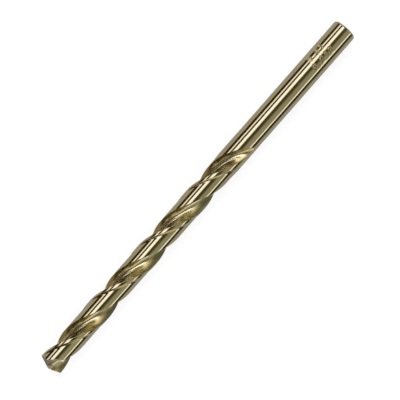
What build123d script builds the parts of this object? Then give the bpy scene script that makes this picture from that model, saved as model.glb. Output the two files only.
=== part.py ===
from build123d import *
import math
import os

# Twist drill bit: right-hand, two flutes, jobber length, with a split point. One piece of hardened steel.
# It lies along X, with the middle of the shank's end face at the origin and the point at x = overall_length.
# A "reach" is a distance back from the point towards the shank. A "bearing" is an angle about the axis, from
# the direction of the lip, counted in the way that the drill turns when it cuts.

# ---- driving dimensions (mm, degrees): the blank
drill_diameter = 5.41         # over the margins
shank_diameter = 5.37         # plain shank, a hair under the ground body
overall_length = 95.25        # point to shank end
plain_body = 0.9              # ground body left between the flutes' end and the shank
shank_step = 0.6              # length of the slope down to the shank
shank_chamfer = 0.35          # on the shank's end edge

# ---- the flutes
flute_length = 63.5           # point to the place where a flute has run out
helix_angle = 29.0            # at the margins
web_thickness = 1.0           # core between the flutes, at the point
web_growth = 0.008            # what the core gains for each mm towards the shank
flute_opening = 80.0          # angle that a flute opens on the outside
flute_bottom_radius = 1.15    # hollow between the cutting face and the heel
bottom_offset = 15.0          # bearing of the flute's deepest place, ahead of its middle
runout_radius = 22.0          # lengthwise curve on which a flute climbs out of the body
runout_bearing = 56.0         # direction in which it climbs out

# ---- the lands
margin_width = 0.55           # full-diameter strip behind each leading edge
land_clearance = 0.13         # how far the rest of the land lies below the margin
land_slope = 0.45             # width of the slope between the two
clearance_stop = 5.0          # that clearance ends this far before the flute does
clearance_fade = 3.0          # and fades out over this length
heel_overlap = 6.0            # its cut runs this many degrees past the heel

# ---- the point
point_angle = 135.0           # between the two lips
lip_relief = 10.0             # slope of the flank just behind the lip
flank_radius = 7.0            # the flank falls away on this radius
flank_arc = 50.0              # how far round that curve goes, to clear the heel
split_gap = 0.12              # from the axis to the upright wall of each split notch
split_depth = 0.6             # on the axis, from the chisel edge down to the level of the sloping wall
split_wall_bearing = 25.0     # direction of the upright wall
split_floor_bearing = 138.0   # direction of level lines on the sloping wall
split_lean = 39.0             # between the bottom of the notch and the axis
first_lip = -6.6              # direction of the first lip about the X axis, from +Y

# ---- worked out from them
radius = drill_diameter / 2
half_web = web_thickness / 2
outside = drill_diameter      # tools reach this far, well clear of the blank
far_outside = 2 * outside     # and twice as far where their walls lean or curve
section_turn = 30             # a helical tool has a section for every such turn, in degrees
tool_clearance = 0.05         # what fades out ends this far outside the body
lead_per_radian = radius / math.tan(math.radians(helix_angle))
station_gap = math.radians(section_turn) * lead_per_radian
half_point = math.radians(point_angle / 2)
lip_rise = 1 / math.tan(half_point)
lip_corner = math.sqrt(radius**2 - half_web**2)
leading_bearing = math.degrees(math.asin(half_web / radius))
heel_bearing = leading_bearing + flute_opening
bottom_bearing = (leading_bearing + heel_bearing) / 2 + bottom_offset


def polar(distance, bearing):
    """Vector of this length in the direction of a bearing, in a section's own plane."""
    return Vector(distance, 0).rotate(Axis.Z, bearing)


def flank_drop(behind):
    """How far the flank has fallen, along its normal, at a distance behind the lip."""
    lean = math.radians(lip_relief)
    across = behind + flank_radius * math.sin(lean)
    return flank_radius * math.cos(lean) - math.sqrt(flank_radius**2 - across**2)


# the chisel edge lies on the axis, where both flanks have already fallen this far along it
chisel_drop = flank_drop(half_web) / math.sin(half_point)
corner_reach = lip_corner * lip_rise - chisel_drop


def section_plane(reach):
    """Plane across the drill, turned with the helix, so that its x axis is bearing 0."""
    turn = math.radians(first_lip) - (reach - corner_reach) / lead_per_radian
    return Plane(
        origin=(overall_length - reach, 0, 0),
        x_dir=(0, math.cos(turn), math.sin(turn)),
        z_dir=(1, 0, 0),
    )


def stations(last_reach):
    """Evenly spaced reaches for a helical tool, from in front of the point."""
    count = math.ceil((last_reach + station_gap) / station_gap)
    return [-station_gap + (last_reach + station_gap) * step / count for step in range(count + 1)]


# ---- flute: sections turned along the helix, which climb out of the body at the end on a large radius
full_core_radius = half_web + web_growth * flute_length / 2
runout_start = flute_length - math.sqrt(2 * runout_radius * (radius - full_core_radius))


def flute_shift(reach):
    """How far the flute's section has moved outwards, by the growing web and then by the run-out."""
    growth = web_growth * max(reach, 0) / 2
    climb = max(reach - runout_start, 0) ** 2 / (2 * runout_radius)
    return polar(growth + climb, runout_bearing)


def cutting_face(along_lip):
    """Point of the flute's section that meets a straight lip at this distance along it."""
    ahead = (lip_corner - along_lip) * lip_rise / lead_per_radian
    return Vector(along_lip, half_web).rotate(Axis.Z, -math.degrees(ahead))


web_point = polar(half_web, bottom_bearing)
web_tangent = polar(1, bottom_bearing + 90)
heel_point = polar(radius, heel_bearing)
to_heel = heel_point - polar(half_web + flute_bottom_radius, bottom_bearing)
heel_wall_bearing = math.degrees(
    math.atan2(to_heel.Y, to_heel.X) - math.asin(flute_bottom_radius / to_heel.length)
)
hollow_arc = heel_wall_bearing - bottom_bearing - 90
lip_shares = (1.5, 1.0, 0.7, 0.4)  # places along the lip, and one beyond its corner
face_points = [cutting_face(share * lip_corner) for share in lip_shares]

with BuildPart() as flute:
    for reach in stations(flute_length + station_gap):
        shift = flute_shift(reach)
        with BuildSketch(section_plane(reach)):
            with BuildLine():
                face = Spline(
                    *[point + shift for point in face_points],
                    web_point + shift,
                    tangents=[polar(1, 180 + leading_bearing), web_tangent],
                )
                hollow = JernArc(face @ 1, web_tangent, flute_bottom_radius, hollow_arc)
                heel_wall = Line(hollow @ 1, heel_point + polar(radius, heel_wall_bearing) + shift)
                Line(heel_wall @ 1, face @ 0)
            make_face()
    loft()

# ---- clearance: an arched strip behind the margin, which runs on past the heel
margin_turn = math.degrees(margin_width / math.cos(math.radians(helix_angle)) / radius)
margin_bearing = leading_bearing - margin_turn
slope_bearing = margin_bearing - math.degrees(land_slope / radius)
slope_way = polar(radius, margin_bearing) - polar(radius - land_clearance, slope_bearing)
strip_start = heel_bearing - 180 - heel_overlap
strip_sweep = slope_bearing - strip_start
clearance_end = flute_length - clearance_stop


def land_radius(reach):
    """Radius of the land behind its margin, which rises out of the body where the clearance ends."""
    climb = max(reach - clearance_end + clearance_fade, 0) / clearance_fade
    return radius - land_clearance + (land_clearance + tool_clearance) * climb


with BuildPart() as clearance:
    for reach in stations(clearance_end):
        with BuildSketch(section_plane(reach)):
            with BuildLine():
                land = CenterArc((0, 0), land_radius(reach), strip_start, strip_sweep)
                slope = Line(land @ 1, (land @ 1) + slope_way * (outside / slope_way.length))
                rim_middle = polar(far_outside, strip_start + strip_sweep / 2)
                ThreePointArc(slope @ 1, rim_middle, polar(outside, strip_start))
                Line(polar(outside, strip_start), land @ 0)
            make_face()
    loft()

# ---- flank: all that lies in front of a curved surface whose straight lines run along the lip
lip_direction = Vector(0, 1, 0).rotate(Axis.X, first_lip)
ahead_direction = Vector(1, 0, 0).cross(lip_direction)
flank_direction = lip_direction * math.sin(half_point) - Vector(math.cos(half_point), 0, 0)
lip_start = Vector(overall_length + chisel_drop, 0, 0) + ahead_direction * half_web

with BuildPart() as flank:
    with BuildSketch(Plane(origin=lip_start, x_dir=ahead_direction, z_dir=flank_direction)):
        with BuildLine():
            ahead = Line((outside, 0), (0, 0))
            fall = JernArc(ahead @ 1, polar(1, 180 + lip_relief), flank_radius, flank_arc)
            Polyline(fall @ 1, (fall @ 1) + (0, far_outside), (outside, far_outside), ahead @ 0)
        make_face()
    extrude(amount=outside, both=True)

# ---- split notch: a wedge whose upright and sloping walls meet along a line that leans out from the axis
between_walls = math.radians(split_floor_bearing - split_wall_bearing)
notch_lean = math.radians(split_lean)
floor_offset = -split_depth * math.tan(notch_lean) * math.sin(between_walls)
along_wall = (floor_offset + split_gap * math.cos(between_walls)) / math.sin(between_walls)
notch_corner = polar(along_wall, split_wall_bearing) + polar(split_gap, split_wall_bearing + 90)
outward = lip_direction.rotate(Axis.X, split_wall_bearing)
notch_direction = outward * math.sin(notch_lean) - Vector(math.cos(notch_lean), 0, 0)

with BuildPart() as notch:
    with BuildSketch(Plane(origin=(overall_length, 0, 0), x_dir=lip_direction, z_dir=(1, 0, 0))):
        with BuildLine():
            upright = Line(notch_corner, notch_corner + polar(far_outside, split_wall_bearing))
            floor = Line(notch_corner, notch_corner + polar(far_outside, split_floor_bearing))
            Line(upright @ 1, floor @ 1)
        make_face()
    extrude(amount=far_outside, dir=notch_direction, both=True)

# ---- the drill: a ground blank, less each tool on both sides
step_start = overall_length - flute_length - plain_body - shank_step

with BuildPart() as twist_drill_bit:
    with BuildSketch(Plane.XY):
        with BuildLine():
            Polyline(
                (0, 0),
                (0, shank_diameter / 2),
                (step_start, shank_diameter / 2),
                (step_start + shank_step, radius),
                (overall_length + radius, radius),
                (overall_length + radius, 0),
                close=True,
            )
        make_face()
    revolve(axis=Axis.X)
    chamfer(twist_drill_bit.edges().group_by(Axis.X)[0], length=shank_chamfer)
    for tool in (flute, clearance, flank, notch):
        for side in (0, 180):
            add(tool.part, rotation=(side, 0, 0), mode=Mode.SUBTRACT)

twist_drill_bit.part.label = "twist_drill_bit"
os.makedirs("parts", exist_ok=True)
export_step(twist_drill_bit.part, "parts/twist_drill_bit.step")
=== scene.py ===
import math
import bmesh
import bpy
import numpy as np
from mathutils import Matrix, Vector


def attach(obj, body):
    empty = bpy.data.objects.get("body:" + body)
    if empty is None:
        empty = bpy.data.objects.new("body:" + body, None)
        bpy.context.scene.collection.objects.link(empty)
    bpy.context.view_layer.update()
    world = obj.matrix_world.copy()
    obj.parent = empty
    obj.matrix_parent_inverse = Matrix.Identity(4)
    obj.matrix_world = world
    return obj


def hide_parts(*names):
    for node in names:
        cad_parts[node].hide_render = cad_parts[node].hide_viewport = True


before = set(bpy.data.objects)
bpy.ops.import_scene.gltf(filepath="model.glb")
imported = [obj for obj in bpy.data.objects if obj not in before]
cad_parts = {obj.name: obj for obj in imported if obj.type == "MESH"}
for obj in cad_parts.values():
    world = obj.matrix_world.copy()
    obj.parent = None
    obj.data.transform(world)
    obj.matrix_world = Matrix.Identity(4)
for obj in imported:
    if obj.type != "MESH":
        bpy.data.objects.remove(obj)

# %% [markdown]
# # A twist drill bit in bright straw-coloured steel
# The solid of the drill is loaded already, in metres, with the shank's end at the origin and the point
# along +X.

MM = 0.001


bpy.context.view_layer.update()

# %% [markdown]
# ## The four finishes
# One bar of steel shows four finishes: the ground outside, the flutes with their long grinding streaks, the
# freshly ground facets of the point, and the rough bottom of the stamped figures. Their materials are named
# now, so that each face can be given its finish as it is made, and filled in once the shape is done.

# %% Name the finishes
finish_names = ("ground_outside", "ground_flute", "ground_point", "stamped_figures")
outside_finish, flute_finish, point_finish, stamp_finish = range(len(finish_names))
finishes = [bpy.data.materials.new(name) for name in finish_names]
for finish in finishes:
    finish.use_nodes = True
print("finishes:", [finish.name for finish in finishes])

# %% [markdown]
# ## The sizes of the drill
# A drill is set out by a few numbers, and everything else follows from them: the helix, the web between the
# flutes, the margins, and the angles ground on the point. They are written here in millimetres and degrees.
# A "reach" is a distance back from the point. A "bearing" is an angle about the axis from the direction of
# the lip, counted in the way that the drill turns when it cuts.

# %% Write down the sizes
overall_length, flute_length = 95.25, 63.5
radius, shank_radius = 5.41 / 2, 5.37 / 2
plain_body, shank_step, shank_chamfer = 0.9, 0.6, 0.35
helix_angle, half_web, web_growth = 29.0, 0.5, 0.008
flute_opening, flute_bottom_radius, bottom_offset = 80.0, 1.15, 15.0
runout_radius, runout_bearing = 22.0, 56.0
margin_width, land_clearance, land_slope = 0.55, 0.13, 0.45
clearance_stop, clearance_fade, tool_clearance = 5.0, 3.0, 0.05
point_angle, lip_relief, flank_radius, flank_arc = 135.0, 10.0, 7.0, 50.0
split_gap, split_depth, split_lean = 0.12, 0.6, 39.0
split_wall_bearing, split_floor_bearing = 25.0, 138.0
first_lip = -6.6  # direction of the first lip about the X axis, from +Y

half_point = math.radians(point_angle / 2)
lead_per_radian = radius / math.tan(math.radians(helix_angle))
lip_rise = 1 / math.tan(half_point)
lip_corner = math.sqrt(radius**2 - half_web**2)
leading_bearing = math.degrees(math.asin(half_web / radius))
heel_bearing = leading_bearing + flute_opening
bottom_bearing = (leading_bearing + heel_bearing) / 2 + bottom_offset
print("one turn of the flute takes", round(2 * math.pi * lead_per_radian, 1), "mm")

# %% [markdown]
# ## The outline of a flute
# A flute has three parts when it is cut across: the cutting face, which is curved so that the lip comes out
# straight, the hollow at the web, and the wall that climbs to the heel. The face is a smooth curve through
# five worked-out places, so a small cubic spline is solved here. The other two are an arc and a line.

# %% Make the curves for a flute's outline
def polar(distance, bearing):
    angle = math.radians(bearing)
    return np.array((distance * math.cos(angle), distance * math.sin(angle)))


def smooth_curve(places, first_way, last_way, steps):
    """Points along a cubic spline through the places, with a set direction at each end."""
    places = np.array(places)
    gaps = np.linalg.norm(np.diff(places, axis=0), axis=1)
    system = np.eye(len(places))
    slopes = np.zeros_like(places)
    slopes[0], slopes[-1] = first_way, last_way
    for i in range(1, len(places) - 1):
        before, after = gaps[i - 1], gaps[i]
        to_here, from_here = places[i] - places[i - 1], places[i + 1] - places[i]
        system[i, i - 1:i + 2] = after, 2 * (before + after), before
        slopes[i] = 3 * (after / before * to_here + before / after * from_here)
    slopes = np.linalg.solve(system, slopes)
    points = [places[:1]]
    s = np.linspace(0, 1, steps + 1)[1:, None]
    for i, gap in enumerate(gaps):
        points.append(
            (2 * s**3 - 3 * s**2 + 1) * places[i] + (s**3 - 2 * s**2 + s) * gap * slopes[i]
            + (3 * s**2 - 2 * s**3) * places[i + 1] + (s**3 - s**2) * gap * slopes[i + 1]
        )
    return np.concatenate(points)


def cutting_face(along_lip):
    """Place on the outline that meets a straight lip at this distance along it."""
    ahead = (lip_corner - along_lip) * lip_rise / lead_per_radian
    c, s = math.cos(-ahead), math.sin(-ahead)
    return np.array((c * along_lip - s * half_web, s * along_lip + c * half_web))


print("the lip's corner lies at", cutting_face(lip_corner).round(3))

# %% Draw the outline
lip_shares = (1.5, 1.0, 0.7, 0.4)  # places along the lip, and one beyond its corner
face_steps, hollow_steps, wall_steps = 24, 32, 59

web_point = polar(half_web, bottom_bearing)
face_places = [cutting_face(share * lip_corner) for share in lip_shares] + [web_point]
face = smooth_curve(face_places, polar(1, 180 + leading_bearing), polar(1, bottom_bearing + 90), face_steps)

hollow_centre = polar(half_web + flute_bottom_radius, bottom_bearing)
to_heel = polar(radius, heel_bearing) - hollow_centre
wall_bearing = math.degrees(
    math.atan2(to_heel[1], to_heel[0]) - math.asin(flute_bottom_radius / np.linalg.norm(to_heel))
)
hollow_turns = np.linspace(bottom_bearing + 180, wall_bearing + 90, hollow_steps + 1)[1:]
hollow = np.array([hollow_centre + polar(flute_bottom_radius, turn) for turn in hollow_turns])

heel_end = polar(radius, heel_bearing) + polar(radius, wall_bearing)
heel_wall = hollow[-1] + np.linspace(0, 1, wall_steps + 1)[1:, None] * (heel_end - hollow[-1])
flute_outline = np.concatenate((face, hollow, heel_wall))
web = 2 * np.linalg.norm(flute_outline, axis=1).min()
print("flute outline:", len(flute_outline), "points, web", round(web, 3), "mm")

# %% [markdown]
# ## One section of the drill
# Across the drill, each half turn is a flute and a land. The land has a narrow margin at full diameter
# behind the cutting edge, and behind it the steel is ground a little lower, so that only the margins rub in
# the hole. Every edge gets a tiny rounding of its own, as a stone leaves on real steel, because a perfectly
# sharp edge catches no light. Each section has the same number of points, so neighbours can be joined by
# plain quads.

# %% Find how a section changes along the drill
full_core = half_web + web_growth * flute_length / 2
runout_start = flute_length - math.sqrt(2 * runout_radius * (radius - full_core))
clearance_end = flute_length - clearance_stop


def flute_shift(reach):
    """How far the outline has moved out, by the growing web and then by the run-out."""
    climb = max(reach - runout_start, 0)**2 / (2 * runout_radius)
    return polar(web_growth * max(reach, 0) / 2 + climb, runout_bearing)


def land_radius(reach):
    """Radius of the land behind its margin, which rises to the full radius where the clearance ends."""
    climb = max(reach - clearance_end + clearance_fade, 0) / clearance_fade
    return min(radius, radius - land_clearance + (land_clearance + tool_clearance) * climb)


print("the flutes start to climb", round(runout_start, 2), "mm from the point")

# %% Work out the points of a section
lead_break, heel_break = 0.07, 0.04  # how far the rounding of each edge reaches
break_limit = 6  # parts of a flute's width, of which a rounding takes one at most
flute_points, land_points, slope_points, margin_points, break_points = 46, 24, 9, 5, 5
margin_turn = math.degrees(margin_width / math.cos(math.radians(helix_angle)) / radius)
margin_start = 180 + leading_bearing - margin_turn
slope_turn = math.degrees(land_slope / radius)


def crossing(path, level):
    """First place where a path that comes from outside crosses the circle of this radius."""
    away = np.linalg.norm(path, axis=1)
    i = int(np.argmax(away < level))
    share = (away[i - 1] - level) / (away[i - 1] - away[i])
    return i, path[i - 1] + share * (path[i] - path[i - 1])


def bearing_of(point):
    return math.degrees(math.atan2(point[1], point[0]))


def rounded(before, corner, after):
    """Points of a small rounding that starts and ends beside a corner."""
    s = np.linspace(0, 1, break_points + 2)[1:-1, None]
    return (1 - s)**2 * before + 2 * s * (1 - s) * corner + s**2 * after


def half_section(reach):
    """Points of half a section: leading edge, flute, heel, land, its slope and the margin."""
    outline = flute_outline + flute_shift(reach)
    land = land_radius(reach)
    first, lead = crossing(outline, radius)
    last, heel = crossing(outline[::-1], land)
    wall = np.concatenate(([lead], outline[first:len(outline) - last], [heel]))
    run = np.concatenate(([0], np.cumsum(np.linalg.norm(np.diff(wall, axis=0), axis=1))))
    lead_trim, heel_trim = [min(trim, run[-1] / break_limit) for trim in (lead_break, heel_break)]
    spots = np.linspace(lead_trim, run[-1] - heel_trim, flute_points)
    flute = np.stack([np.interp(spots, run, wall[:, k]) for k in (0, 1)], axis=1)
    margin_end = bearing_of(lead) - math.degrees(lead_trim / radius)
    land_start = bearing_of(heel) + math.degrees(heel_trim / radius)
    behind = np.linspace(land_start, margin_start - slope_turn, land_points)
    slope = [
        polar(land + (radius - land) * (3 * s**2 - 2 * s**3), margin_start - slope_turn * (1 - s))
        for s in np.linspace(0, 1, slope_points + 2)[1:-1]
    ]
    margin = np.linspace(margin_start, 180 + margin_end, margin_points)
    return np.concatenate((
        rounded(polar(radius, margin_end), lead, flute[0]),
        flute,
        rounded(flute[-1], heel, polar(land, land_start)),
        [polar(land, turn) for turn in behind],
        slope,
        [polar(radius, turn) for turn in margin],
    ))


print("points in a section:", 2 * len(half_section(0.0)))

# %% Find where the flutes end
search_past, halvings, just_short = 4, 40, 0.002  # the first and the last in mm


def flute_gone(reach):
    return np.linalg.norm(flute_outline + flute_shift(reach), axis=1).min() >= radius


cut, uncut = runout_start, flute_length + search_past
for halving in range(halvings):
    middle = (cut + uncut) / 2
    cut, uncut = (cut, middle) if flute_gone(middle) else (middle, uncut)
flute_end = cut - just_short
print("the flutes end", round(flute_end, 2), "mm from the point")

# %% [markdown]
# ## Sweeping the sections into a body
# A bar with a spiral groove could be made with a Screw modifier, but that keeps one section all the way,
# while a drill's web grows and its flutes climb out at the end. So the body is built ring by ring, each
# ring turned a little further along the helix. The rings start in front of the point, which is ground to
# shape later.

# %% Build the rings of the body
ring_start, point_zone = -0.6, 3.0
point_gap, flute_gap, runout_gap = 0.12, 0.3, 0.16  # from one ring to the next


def tip_fall(behind):
    """How far the flank has fallen, along its normal, at a distance behind the lip."""
    lean = math.radians(lip_relief)
    across = behind + flank_radius * math.sin(lean)
    return flank_radius * math.cos(lean) - math.sqrt(flank_radius**2 - across**2)


chisel_drop = tip_fall(half_web) / math.sin(half_point)
corner_reach = lip_corner * lip_rise - chisel_drop


def ring_at(reach):
    """Points of a whole section, turned to its place on the helix."""
    turn = math.radians(first_lip) - (reach - corner_reach) / lead_per_radian
    half = half_section(reach)
    ring = np.concatenate((half, -half))
    c, s = math.cos(turn), math.sin(turn)
    across = c * ring[:, 0] - s * ring[:, 1]
    upward = s * ring[:, 0] + c * ring[:, 1]
    return np.stack((np.full(len(ring), overall_length - reach), across, upward), axis=1)


reaches = np.concatenate((
    np.arange(ring_start, point_zone, point_gap),
    np.arange(point_zone, runout_start, flute_gap),
    np.arange(runout_start, flute_end, runout_gap),
    [flute_end],
))
rings = [ring_at(reach) for reach in reaches]
print(len(rings), "rings along the flutes")

# %% [markdown]
# ## The shank and the stamped size
# Past the flutes the bar is round, and only its radius changes: a short slope, the plain shank and its
# chamfer. The size is stamped in the shank in two plain figures, in millimetres and in inches. A stamp
# pushes steel down and a little of it up at the rim, so the rings there lie close together and each of
# their points is moved by how far it is from a stroke. Cutting letters out with a Boolean would leave
# sharp, slow and fragile edges.

# %% Draw the figures as strokes
figure_strokes = {  # in shares of a figure's height, across and up
    "0": (
        (0.3, 0), (0.06, 0.2), (0, 0.5), (0.06, 0.8), (0.3, 1),
        (0.54, 0.8), (0.6, 0.5), (0.54, 0.2), (0.3, 0),
    ),
    "1": ((0.12, 0.8), (0.35, 1), (0.35, 0)),
    "2": ((0.03, 0.78), (0.15, 0.95), (0.35, 1), (0.55, 0.88), (0.57, 0.68), (0.4, 0.42), (0, 0), (0.6, 0)),
    "3": (
        (0.03, 0.92), (0.3, 1), (0.55, 0.85), (0.5, 0.62), (0.25, 0.54),
        (0.55, 0.42), (0.6, 0.2), (0.35, 0), (0, 0.08),
    ),
    "4": ((0.45, 0), (0.45, 1), (0, 0.32), (0.6, 0.32)),
    "5": (
        (0.55, 1), (0.1, 1), (0.05, 0.55), (0.35, 0.6),
        (0.58, 0.42), (0.58, 0.18), (0.35, 0), (0.02, 0.08),
    ),
    ".": ((0.1, 0.02), (0.14, 0.02)),
}
figure_height, figure_share, dot_width, figure_gap = 1.2, 0.6, 0.25, 0.62
stamps = (("0.213", 10.9, -1.05), ("5.41", 10.4, 0.95))  # start along X, and base line around from the top

strokes = []
for words, start_x, base in stamps:
    pen = 0.0
    for sign in words:
        path = [
            (start_x - pen - a * figure_height, base + b * figure_height) for a, b in figure_strokes[sign]
        ]
        strokes += list(zip(path, path[1:]))
        pen += figure_gap + (dot_width if sign == "." else figure_share * figure_height)
print(len(strokes), "strokes")

# %% Press the strokes into the steel
stroke_half_width, stamp_depth, rim_height = 0.17, 0.07, 0.012
rim_place, rim_spread, rough_share = 1.25, 0.3, 0.9  # in half widths of a stroke
out_of_reach, stroke_span = 9.0, 1.5  # mm, and strokes further along the shank than the span are passed over


def stamped(x, around):
    """How far the steel is moved outwards at places on the shank, and which of them lie in a stroke."""
    nearest = np.full(around.shape, out_of_reach)
    for (x0, a0), (x1, a1) in strokes:
        if abs(x - (x0 + x1) / 2) < stroke_span:
            way = np.array((x1 - x0, a1 - a0))
            share = np.clip(((x - x0) * way[0] + (around - a0) * way[1]) / (way @ way), 0, 1)
            nearest = np.minimum(nearest, np.hypot(x - x0 - share * way[0], around - a0 - share * way[1]))
    off = nearest / stroke_half_width
    rim = rim_height * np.exp(-((off - rim_place) / rim_spread)**2)
    return rim - stamp_depth * np.clip(1 - off**2, 0, 1), off < rough_share


print("the stamps are pressed", stamp_depth, "mm deep")

# %% Plan the rings of the plain part
shank_x = overall_length - flute_length - plain_body - shank_step
evening_length, evening_rings = 14, 56  # here the points of a ring become evenly spaced
stamp_zone, stamp_ring_gap = (3.0, 11.6), 0.075
sparse_rings, gap_before, gap_after = 8, 0.4, 0.3  # between the even rings, the stamps and the chamfer
end_face_rim, end_face_middle = 0.6, 0.8

plan = [(shank_x + shank_step, radius, 0), (shank_x, shank_radius, 0)]  # x, radius and evenness
for share in np.linspace(0, 1, evening_rings + 1)[1:]:
    plan.append((shank_x - evening_length * share, shank_radius, share))
plain_places = np.concatenate((
    np.linspace(shank_x - evening_length - gap_before, stamp_zone[1] + gap_after, sparse_rings),
    np.arange(stamp_zone[1], stamp_zone[0], -stamp_ring_gap),
    np.linspace(stamp_zone[0], shank_chamfer, sparse_rings),
))
plan += [(x, shank_radius, 1) for x in plain_places]
end_sizes = (shank_radius - shank_chamfer, shank_radius - end_face_rim, end_face_middle)
plan += [(0.0, size, 1) for size in end_sizes]
print(len(plan), "rings planned")

# %% Add the rings of the plain part
round_turns = np.unwrap(np.arctan2(rings[-1][:, 2], rings[-1][:, 1]))
even_turns = round_turns[0] + np.arange(len(round_turns)) * 2 * math.pi / len(round_turns)
in_stroke = {}
deepest = 0.0
for x, size, evenness in plan:
    turns = round_turns + (even_turns - round_turns) * evenness
    moved = np.zeros(len(turns))
    if stamp_zone[0] < x < stamp_zone[1]:
        from_top = (turns - math.pi / 2 + math.pi) % (2 * math.pi) - math.pi
        moved, in_stroke[len(rings)] = stamped(x, shank_radius * from_top)
        deepest = max(deepest, -moved.min())
    away = size + moved
    rings.append(np.column_stack((np.full(len(turns), x), away * np.cos(turns), away * np.sin(turns))))
print(len(rings), "rings in all, deepest stamp", round(deepest, 3), "mm")

# %% [markdown]
# ## Joining the rings
# The real drill is one bar, so its rings must become one closed skin. A bridge between whole rings would be
# quicker to write, but joining them by single quads lets each quad have its own finish. UVs in millimetres
# are laid on at the same time, across the surface and along the drill, so that marks can follow the helix.

# %% Join the rings into a mesh
same_place = 1e-7
flute_end_x = overall_length - flute_end
flute_quads = range(break_points, break_points + flute_points - 1)  # among the quads of half a ring


def finish_of(k, x, marked):
    """Finish of the quad that starts at point k of half a ring."""
    if k in flute_quads and x > flute_end_x:
        return flute_finish
    return stamp_finish if marked else outside_finish


def piece_of(name, bm):
    """Turn a closed shape into a piece that can show all the finishes."""
    bmesh.ops.recalc_face_normals(bm, faces=bm.faces)
    mesh = bpy.data.meshes.new(name)
    for finish in finishes:
        mesh.materials.append(finish)
    bm.to_mesh(mesh)
    open_edges = sum(not edge.is_manifold for edge in bm.edges)
    print(name, "volume", round(bm.calc_volume(signed=True) / MM**3, 1), "mm3, open edges", open_edges)
    bm.free()
    piece = bpy.data.objects.new(name, mesh)
    bpy.context.scene.collection.objects.link(piece)
    return piece


def mesh_of_rings(name, rings):
    """Join rings into a closed piece, from its first ring to its last."""
    bm = bmesh.new()
    uv = bm.loops.layers.uv.new("surface_mm")
    rows = [[bm.verts.new(Vector(point) * MM) for point in ring] for ring in rings]
    size = len(rows[0])
    for row, (upper, lower) in enumerate(zip(rows, rows[1:])):
        marked = in_stroke.get(row, np.zeros(size, bool))
        spread = [0.0]
        for k in range(size):
            spread.append(spread[-1] + (upper[(k + 1) % size].co - upper[k].co).length / MM)
        for k in range(size):
            n = (k + 1) % size
            quad = bm.faces.new((upper[k], upper[n], lower[n], lower[k]))
            quad.material_index = finish_of(k % (size // 2), upper[k].co.x / MM, marked[k])
            quad.smooth = True
            for loop, across in zip(quad.loops, (spread[k], spread[k + 1], spread[k + 1], spread[k])):
                loop[uv].uv = (across, loop.vert.co.x / MM)
    bm.faces.new(rows[0][::-1])
    bm.faces.new(rows[-1])
    bmesh.ops.remove_doubles(bm, verts=bm.verts, dist=same_place)
    return piece_of(name, bm)


drill = mesh_of_rings("twist_drill", rings)

# %% [markdown]
# ## Grinding the point
# A point is ground by turning the drill against a wheel, so each flank is part of a wide curved surface,
# and it falls away behind its lip. Then the corner of a wheel cuts a notch behind each lip to thin the web,
# which makes a split point. The same is done here: each cut is a prism that a Boolean takes away, and its
# faces bring the finish of the point with them.

# %% Prepare the grinding cuts
tip = Vector((overall_length, 0, 0))
axis = Vector((1, 0, 0))
lip_way = Matrix.Rotation(math.radians(first_lip), 3, "X") @ Vector((0, 1, 0))
ahead_way = axis.cross(lip_way)
outside = 2 * radius  # the cuts reach this far, well clear of the drill
far_outside = 2 * outside


def prism(name, corner, across, upward, profile, way, length):
    """A closed bar whose profile, in the two given directions, runs both ways from its middle."""
    bm = bmesh.new()
    ends = [
        [bm.verts.new((corner + across * a + upward * b + way * side * length) * MM) for a, b in profile]
        for side in (-1, 1)
    ]
    bm.faces.new(ends[0][::-1])
    bm.faces.new(ends[1])
    for k in range(len(profile)):
        n = (k + 1) % len(profile)
        bm.faces.new((ends[0][k], ends[0][n], ends[1][n], ends[1][k]))
    for facet in bm.faces:
        facet.material_index = point_finish
        facet.smooth = True
    return piece_of(name, bm)


print("the cuts reach", outside, "mm from their corners")

# %% Shape the flank's cut
flank_steps = 35
flank_way = lip_way * math.sin(half_point) - axis * math.cos(half_point)
arc_middle = polar(flank_radius, 270 + lip_relief)
fall_start = 90 + lip_relief
fall_turns = np.linspace(fall_start, fall_start + flank_arc, flank_steps + 1)[1:]
fall = [tuple(arc_middle + polar(flank_radius, turn)) for turn in fall_turns]
fall_end = (fall[-1][0], fall[-1][1] + far_outside)
flank_profile = [(outside, 0), (0, 0), *fall, fall_end, (outside, far_outside)]
flank_corner = tip + axis * chisel_drop + ahead_way * half_web
flank_upward = flank_way.cross(ahead_way)
flank_cut = prism("flank_cut", flank_corner, ahead_way, flank_upward, flank_profile, flank_way, outside)

# %% Shape the split notch's cut
between_walls = math.radians(split_floor_bearing - split_wall_bearing)
lean = math.radians(split_lean)
floor_offset = -split_depth * math.tan(lean) * math.sin(between_walls)
along_wall = (floor_offset + split_gap * math.cos(between_walls)) / math.sin(between_walls)
notch_corner = polar(along_wall, split_wall_bearing) + polar(split_gap, split_wall_bearing + 90)
notch_profile = [
    tuple(notch_corner),
    tuple(notch_corner + polar(far_outside, split_wall_bearing)),
    tuple(notch_corner + polar(far_outside, split_floor_bearing)),
]
outward = Matrix.Rotation(math.radians(split_wall_bearing), 3, "X") @ lip_way
notch_way = outward * math.sin(lean) - axis * math.cos(lean)
notch_length = 1.5 * outside  # longer than the flank's cut, because it leans
notch_cut = prism("notch_cut", tip, lip_way, ahead_way, notch_profile, notch_way, notch_length)

# %% Take the cuts away on both sides
def volume_of(piece):
    bm = bmesh.new()
    bm.from_mesh(piece.data)
    volume = bm.calc_volume(signed=True) / MM**3
    bm.free()
    return round(volume, 1)


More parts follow.
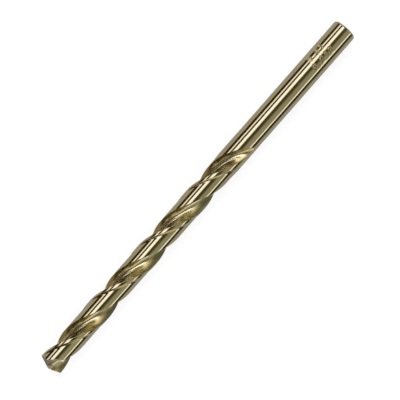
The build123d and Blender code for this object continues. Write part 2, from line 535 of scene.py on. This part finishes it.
def take_away(piece, cutter):
    """Cut one closed shape out of a piece and keep the result as its mesh."""
    cut = piece.modifiers.new("cut", "BOOLEAN")
    cut.object = cutter
    cut.operation = "DIFFERENCE"
    cut.solver = "EXACT"
    bpy.context.view_layer.update()
    evaluated = piece.evaluated_get(bpy.context.evaluated_depsgraph_get())
    result = bpy.data.meshes.new_from_object(evaluated)
    piece.modifiers.remove(cut)
    piece.data = result


for cutter in (flank_cut, notch_cut):
    for side in (0, 180):
        cutter.rotation_euler = (math.radians(side), 0, 0)
        take_away(drill, cutter)
        print(cutter.name, side, "leaves", volume_of(drill), "mm3")
    bpy.data.objects.remove(cutter)

# %% [markdown]
# ## Smooth surfaces and crisp edges
# The quads must not show as facets, but a lip that looks soft is a blunt lip. So everything is shaded
# smooth, and only the edges where two ground surfaces truly meet stay sharp.

# %% Smooth the surfaces and keep the edges crisp
sharp_from = 24  # degrees between two faces
drill.data.set_sharp_from_angle(angle=math.radians(sharp_from))
for facet in drill.data.polygons:
    facet.use_smooth = True
drill.data.validate()
drill.data.calc_loop_triangles()
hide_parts("twist_drill_bit")
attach(drill, "root")
print("triangles:", len(drill.data.loop_triangles))

# %% [markdown]
# ## Marks left by grinding
# Steel that a wheel has ground is never one even tone: each grain leaves a scratch, all in the same
# direction. Around the shank the scratches run around the bar, and in a flute they run along the helix. A
# stretched noise in the surface's own millimetres gives both, so it is built once as a group. A slow second
# noise gives the uneven straw tint that heat leaves.

# %% Build the grinding marks
def add_node(tree, kind, values=(), links=(), **settings):
    """Add a node, set its settings and sockets, and link outputs into its inputs."""
    node = tree.nodes.new(kind)
    for name, value in settings.items():
        setattr(node, name, value)
    for socket, value in values:
        node.inputs[socket].default_value = value
    for socket, source in links:
        tree.links.new(source, node.inputs[socket])
    return node


scratch_scale, tint_scale, scratch_height = 1.0, 0.16, 0.04 * MM

grinding = bpy.data.node_groups.new("grinding_marks", "ShaderNodeTree")
for name, kind, way in (
    ("Place", "NodeSocketVector", "INPUT"), ("Stretch", "NodeSocketVector", "INPUT"),
    ("Depth", "NodeSocketFloat", "INPUT"), ("Scratches", "NodeSocketFloat", "OUTPUT"),
    ("Tint", "NodeSocketFloat", "OUTPUT"), ("Normal", "NodeSocketVector", "OUTPUT"),
):
    grinding.interface.new_socket(name=name, in_out=way, socket_type=kind)
given = grinding.nodes.new("NodeGroupInput")
given_out = grinding.nodes.new("NodeGroupOutput")
stretched = add_node(
    grinding, "ShaderNodeVectorMath", operation="MULTIPLY",
    links=((0, given.outputs["Place"]), (1, given.outputs["Stretch"])),
)
fine = add_node(
    grinding, "ShaderNodeTexNoise", values=(("Scale", scratch_scale), ("Detail", 2.0), ("Roughness", 0.5)),
    links=(("Vector", stretched.outputs[0]),),
)
slow = add_node(
    grinding, "ShaderNodeTexNoise", values=(("Scale", tint_scale), ("Detail", 2.0), ("Roughness", 0.5)),
    links=(("Vector", given.outputs["Place"]),),
)
relief = add_node(
    grinding, "ShaderNodeBump", values=(("Distance", scratch_height),),
    links=(("Height", fine.outputs["Fac"]), ("Strength", given.outputs["Depth"])),
)
grinding.links.new(fine.outputs["Fac"], given_out.inputs["Scratches"])
grinding.links.new(slow.outputs["Fac"], given_out.inputs["Tint"])
grinding.links.new(relief.outputs["Normal"], given_out.inputs["Normal"])
print("group", grinding.name, "with", len(grinding.nodes), "nodes")

# %% [markdown]
# ## The four finishes, filled in
# Every surface of the drill is the same steel, and the tool that made it gives each surface its finish. The
# flutes are also given lighter tones than the outside, a painted highlight that brightens them. Four
# materials could be built one by one, but then they would drift apart, so one function fills them all in.
# Each has its own tones of straw, roughness and stretch of the scratches. Faces that a cut has made carry no
# UVs, so the marks of the point follow the place in the piece. So do those of the stamps, which are rough in
# every direction.

# %% Make what the finishes share
tint_range, scratch_range = (0.35, 0.65), (0.3, 0.7)  # where the two noises have most of their values


def colour_ramp(tree, source, stops):
    """Colours along a value from 0 to 1, by stops that each hold a place and a colour."""
    ramp = add_node(tree, "ShaderNodeValToRGB", links=(("Fac", source),))
    elements = ramp.color_ramp.elements
    elements.remove(elements[1])
    elements[0].position = stops[0][0]
    for place, colour in stops[1:]:
        elements.new(place)
    for element, (place, colour) in zip(elements, stops):
        element.color = (*colour, 1)
    return ramp.outputs["Color"]


def on_surface(tree):
    return tree.nodes.new("ShaderNodeTexCoord").outputs["UV"]


def in_piece(tree):
    place = tree.nodes.new("ShaderNodeTexCoord").outputs["Object"]
    return add_node(
        tree, "ShaderNodeVectorMath", operation="SCALE", values=(("Scale", 1 / MM),), links=((0, place),)
    ).outputs[0]


def dress(finish, place_of, stretch, depth, tones, roughness):
    """Give a finish its scratches, its two tones of straw and its range of roughness."""
    tree = finishes[finish].node_tree
    tree.nodes.clear()
    marks = add_node(
        tree, "ShaderNodeGroup", node_tree=grinding, values=(("Stretch", stretch), ("Depth", depth)),
        links=(("Place", place_of(tree)),),
    )
    tone = colour_ramp(tree, marks.outputs["Tint"], list(zip(tint_range, tones)))
    limits = (*scratch_range, *roughness)
    rough = add_node(
        tree, "ShaderNodeMapRange", values=list(zip(("From Min", "From Max", "To Min", "To Max"), limits)),
        links=(("Value", marks.outputs["Scratches"]),),
    )
    steel = add_node(
        tree, "ShaderNodeBsdfPrincipled", values=(("Metallic", 1.0),),
        links=(
            ("Base Color", tone), ("Roughness", rough.outputs["Result"]), ("Normal", marks.outputs["Normal"]),
        ),
    )
    add_node(tree, "ShaderNodeOutputMaterial", links=(("Surface", steel.outputs["BSDF"]),))
    print(finishes[finish].name, "roughness", roughness)


print("tones follow a tint of", tint_range, "and roughness follows scratches of", scratch_range)

# %% Fill in the finishes
straw, bronze, pale_straw = (0.35, 0.305, 0.18), (0.33, 0.275, 0.15), (0.4, 0.35, 0.23)
# the flutes' two lighter tones are a painted highlight: the same steel, made lighter so that the light in the
# flutes is stronger
painted_highlight_straw, painted_highlight_bronze = (0.5, 0.44, 0.27), (0.45, 0.385, 0.21)
dull_bronze, dull_straw = (0.3, 0.26, 0.16), (0.38, 0.33, 0.2)
looks = (  # finish, where its marks lie, stretch of the scratches, their depth, the two tones and roughness
    (outside_finish, on_surface, (0.12, 7.0, 1.0), 0.03, (straw, bronze), (0.08, 0.13)),
    # the flute's tones are a painted highlight, lighter than the outside steel
    (flute_finish, on_surface, (2.2, 0.06, 1.0), 0.25, (painted_highlight_straw, painted_highlight_bronze), (0.18, 0.27)),
    (point_finish, in_piece, (4.0, 9.0, 9.0), 0.1, (straw, pale_straw), (0.2, 0.34)),
    (stamp_finish, in_piece, (12.0, 12.0, 12.0), 0.25, (dull_bronze, dull_straw), (0.3, 0.5)),
)
for look in looks:
    dress(*look)

# %% [markdown]
# ## The floor and the tent
# Polished steel shows little of its own colour. It shows what stands around it. So the drill lies on a
# plain white floor inside a tent: a half round of cloth along the drill, with pale strips and dark gaps, as
# is hung around shiny tools to draw lines along them. The floor keeps the drill's shadow. In reflections it
# is a white card on each side, with a painted shadow close to the drill where no light gets in, and dark
# again where one card ends.

# %% Make the white paper
paper_tone, shown_share, card_half_width = 0.9, 0.85, 60
# the low stops within 5.5 mm of the axis are a painted shadow of the drill, which only reflections of the
# floor show
card_and_painted_shadow_stops = (  # place beside the axis in mm, and how bright the floor is there in a reflection
    (-60, 0.95), (-5.5, 0.7), (-3, 0.1), (3, 0.1), (5.5, 0.65), (15, 0.75), (22, 0.6), (38, 0.1),
)


def seen_directly(tree):
    """1 for what the camera sees, straight or by reflection or through glass, and 0 for falling light."""
    path = tree.nodes.new("ShaderNodeLightPath")
    either = add_node(
        tree, "ShaderNodeMath", operation="MAXIMUM",
        links=((0, path.outputs["Is Camera Ray"]), (1, path.outputs["Is Glossy Ray"])),
    )
    return add_node(
        tree, "ShaderNodeMath", operation="MAXIMUM",
        links=((0, either.outputs[0]), (1, path.outputs["Is Transmission Ray"])),
    ).outputs[0]


paper = bpy.data.materials.new("white_paper")
paper.use_nodes = True
tree = paper.node_tree
tree.nodes.clear()
matt = add_node(tree, "ShaderNodeBsdfDiffuse", values=(("Color", (paper_tone, paper_tone, paper_tone, 1)),))
floor_spot = tree.nodes.new("ShaderNodeTexCoord").outputs["Object"]
across = add_node(tree, "ShaderNodeSeparateXYZ", links=((0, floor_spot),))
beside = add_node(
    tree, "ShaderNodeMapRange",
    values=(("From Min", -card_half_width * MM), ("From Max", card_half_width * MM)),
    links=(("Value", across.outputs["Y"]),),
)
card_and_painted_shadow_shares = [(side / (2 * card_half_width) + 0.5, (level, level, level)) for side, level in card_and_painted_shadow_stops]
cards_and_painted_shadow = colour_ramp(tree, beside.outputs["Result"], card_and_painted_shadow_shares)
bright = add_node(
    tree, "ShaderNodeMath", operation="MAXIMUM",
    links=((0, cards_and_painted_shadow), (1, tree.nodes.new("ShaderNodeLightPath").outputs["Is Camera Ray"])),
)
white = add_node(tree, "ShaderNodeEmission", links=(("Strength", bright.outputs[0]),))
share = add_node(
    tree, "ShaderNodeMath", operation="MULTIPLY", values=((1, shown_share),),
    links=((0, seen_directly(tree)),),
)
paper_mix = add_node(
    tree, "ShaderNodeMixShader", links=((0, share.outputs[0]), (1, matt.outputs[0]), (2, white.outputs[0]))
)
add_node(tree, "ShaderNodeOutputMaterial", links=(("Surface", paper_mix.outputs[0]),))
print("paper with", len(card_and_painted_shadow_stops), "stops across")

# %% Lay the floor
floor_half_size, floor_squares, floor_gap = 1.5, 8, 0.01  # metres, squares a side, and millimetres
floor_place = (overall_length / 2 * MM, 0, -(radius + floor_gap) * MM)


def stage_piece(name, bm, material):
    """Make a piece of the stage with one material, and with its origin below the middle of the drill."""
    mesh = bpy.data.meshes.new(name)
    bm.to_mesh(mesh)
    bm.free()
    mesh.materials.append(material)
    piece = bpy.data.objects.new(name, mesh)
    piece.location = floor_place
    bpy.context.scene.collection.objects.link(piece)
    return piece


bm = bmesh.new()
bmesh.ops.create_grid(bm, x_segments=floor_squares, y_segments=floor_squares, size=floor_half_size)
floor = stage_piece("floor", bm, paper)
print("floor at", round(floor.location.z / MM, 3), "mm")

# %% [markdown]
# ## The strips of the tent
# A round bar looks at the tent sideways, so the strips become straight lines along it. A flute also turns
# towards the ends of the tent and sees what hangs there. So the strips stop a little way past the drill,
# and panels take over: a warm glow and then a dark one towards the point, a golden one and then dark green
# towards the shank, and pale cloth at both far ends, which keeps the drill bright for somebody who looks
# along it. Only reflections see the tent, so none of its light falls straight onto the floor, and it throws
# no shadow.

# %% Choose the strips and the panels
tent_radius, tent_half_length, tent_folds, tent_glow = 0.6, 1.4, 64, 4.0
strips = (  # angles from straight above in degrees, and the colours there, with a strip or a gap in each line
    (-90, (0.08, 0.045, 0.005)), (-64, (0.05, 0.03, 0.005)),
    (-60.5, (2.7, 2.7, 3.1)), (-51, (2.7, 2.7, 3.1)),
    (-48.5, (0.03, 0.025, 0.01)), (-35.5, (0.03, 0.025, 0.01)),
    (-32, (3.1, 3.2, 4.0)), (-15, (3.1, 3.2, 4.0)),
    (-8, (0.11, 0.1, 0.03)), (11, (0.15, 0.14, 0.06)),
    (28, (0.7, 0.7, 0.62)), (58, (0.68, 0.68, 0.6)),
    (63, (2.7, 2.8, 3.2)), (69.5, (2.7, 2.8, 3.2)),
    (72.5, (0.03, 0.03, 0.01)), (90, (0.03, 0.03, 0.01)),
)
dark_brown, dark_green, dim_green = (0.1, 0.07, 0.03), (0.14, 0.16, 0.12), (0.19, 0.19, 0.14)
warm_glow, golden_glow = (1.5, 1.4, 1.0), (2.7, 2.5, 1.7)
pale_cloth, grey_cloth = (1.3, 1.25, 1.1), (0.55, 0.55, 0.48)
end_panels = (  # metres from the drill's middle at which it starts and is full, and its angles and colours
    (0.15, 0.19, ((8, dark_brown), (26, warm_glow))),
    (0.3, 0.36, ((0, dark_brown), (90, dark_brown))),
    (-0.16, -0.22, ((-50, golden_glow), (25, dim_green))),
    (-0.26, -0.45, ((0, dark_green), (90, dark_green))),
    (0.5, 0.68, ((-90, pale_cloth), (90, pale_cloth))),
    (-0.6, -0.9, ((-90, grey_cloth), (90, grey_cloth))),
)
print(len(strips), "stops in the strips and", len(end_panels), "panels")

# %% Dye the cloth
cloth = bpy.data.materials.new("tent_strips")
cloth.use_nodes = True
tree = cloth.node_tree
tree.nodes.clear()
tent_spot = tree.nodes.new("ShaderNodeTexCoord").outputs["Object"]
where = add_node(tree, "ShaderNodeSeparateXYZ", links=((0, tent_spot),))
turn = add_node(
    tree, "ShaderNodeMath", operation="ARCTAN2", links=((0, where.outputs["Y"]), (1, where.outputs["Z"]))
)
spot = add_node(
    tree, "ShaderNodeMapRange", values=(("From Min", -math.pi / 2), ("From Max", math.pi / 2)),
    links=(("Value", turn.outputs[0]),),
)


def dyed(stops):
    """Colours over the angle, as shares of the strongest glow."""
    shares = [((angle + 90) / 180, [level / tent_glow for level in colour]) for angle, colour in stops]
    return colour_ramp(tree, spot.outputs["Result"], shares)


lit = dyed(strips)
for starts, full, stops in end_panels:
    past = add_node(
        tree, "ShaderNodeMapRange", values=(("From Min", starts), ("From Max", full)),
        links=(("Value", where.outputs["X"]),),
    )
    lit = add_node(  # sockets 6 and 7 hold the two colours, and output 2 gives their mix
        tree, "ShaderNodeMix", data_type="RGBA",
        links=((0, past.outputs["Result"]), (6, lit), (7, dyed(stops))),
    ).outputs[2]
glow = add_node(tree, "ShaderNodeEmission", values=(("Strength", tent_glow),), links=(("Color", lit),))
add_node(tree, "ShaderNodeOutputMaterial", links=(("Surface", glow.outputs[0]),))
print("cloth with", len(tree.nodes), "nodes")

# %% Hang the tent
bm = bmesh.new()
hoops = [
    [
        bm.verts.new((x, tent_radius * math.sin(turn), tent_radius * math.cos(turn)))
        for turn in np.linspace(-math.pi / 2, math.pi / 2, tent_folds + 1)
    ]
    for x in (-tent_half_length, tent_half_length)
]
for k in range(tent_folds):
    bm.faces.new((hoops[0][k], hoops[0][k + 1], hoops[1][k + 1], hoops[1][k]))
bm.faces.new(hoops[0])
bm.faces.new(hoops[1][::-1])
tent = stage_piece("tent", bm, cloth)
for sight in ("camera", "diffuse", "transmission", "volume_scatter", "shadow"):
    setattr(tent, "visible_" + sight, False)
print("tent", 2 * tent_half_length, "m long")

# %% [markdown]
# ## Light and camera
# Two wide lamps and a pale world light the scene softly. The lamps stay out of reflections, because the
# tent gives those. The camera looks straight down, turned so that the drill lies across the picture.

# %% Set the lamps and the world
lamps = (("soft_key", (-0.25, -0.35, 0.7), 6.0), ("soft_fill", (0.45, 0.4, 0.6), 3.0))  # metres and watts
lamp_size, lamp_aim = 0.6, Vector((0.047, 0, 0))  # they point at the middle of the drill
falling_strength, shown_strength = 0.55, 1.0

for name, place, power in lamps:
    lamp_data = bpy.data.lights.new(name, "AREA")
    lamp_data.size = lamp_size
    lamp_data.energy = power
    lamp = bpy.data.objects.new(name, lamp_data)
    lamp.location = place
    lamp.rotation_euler = (lamp_aim - Vector(place)).to_track_quat("-Z", "Y").to_euler()
    lamp.visible_glossy = False
    bpy.context.scene.collection.objects.link(lamp)

world = bpy.data.worlds.new("pale_room")
bpy.context.scene.world = world
world.use_nodes = True
tree = world.node_tree
tree.nodes.clear()
falling, shown = [
    add_node(tree, "ShaderNodeBackground", values=(("Color", (1, 1, 1, 1)), ("Strength", strength)))
    for strength in (falling_strength, shown_strength)
]
room_mix = add_node(
    tree, "ShaderNodeMixShader",
    links=((0, seen_directly(tree)), (1, falling.outputs[0]), (2, shown.outputs[0])),
)
add_node(tree, "ShaderNodeOutputWorld", links=(("Surface", room_mix.outputs[0]),))
bpy.context.scene.view_settings.view_transform = "Standard"
print(len(lamps), "lamps, and a world of strength", falling_strength)

# %% Place the camera
picture_size, sensor_width, pixels_per_mm = 400, 36, 4.7325
below_across, below_down = 198.66, 196.05  # pixels of the place straight below the camera
below_x, camera_height, slant = 46.946, 276.0, math.radians(48.73)
nearest_seen = 0.01  # metres

above = Vector((below_x, 0, camera_height)) * MM
picture_right = Vector((-math.cos(slant), math.sin(slant), 0))
picture_up = Vector((-math.sin(slant), -math.cos(slant), 0))
lens = bpy.data.cameras.new("camera")
lens.sensor_width = sensor_width
lens.lens = sensor_width * pixels_per_mm * camera_height / picture_size
lens.shift_x = (picture_size / 2 - below_across) / picture_size
lens.shift_y = (below_down - picture_size / 2) / picture_size
lens.clip_start = nearest_seen
camera = bpy.data.objects.new("camera", lens)
camera.matrix_world = Matrix((
    (picture_right[0], picture_up[0], 0, above[0]),
    (picture_right[1], picture_up[1], 0, above[1]),
    (0, 0, 1, above[2]),
    (0, 0, 0, 1),
))
bpy.context.scene.collection.objects.link(camera)
bpy.context.scene.camera = camera
print("lens", round(lens.lens, 1), "mm")

# %% Finish
bpy.context.view_layer.update()
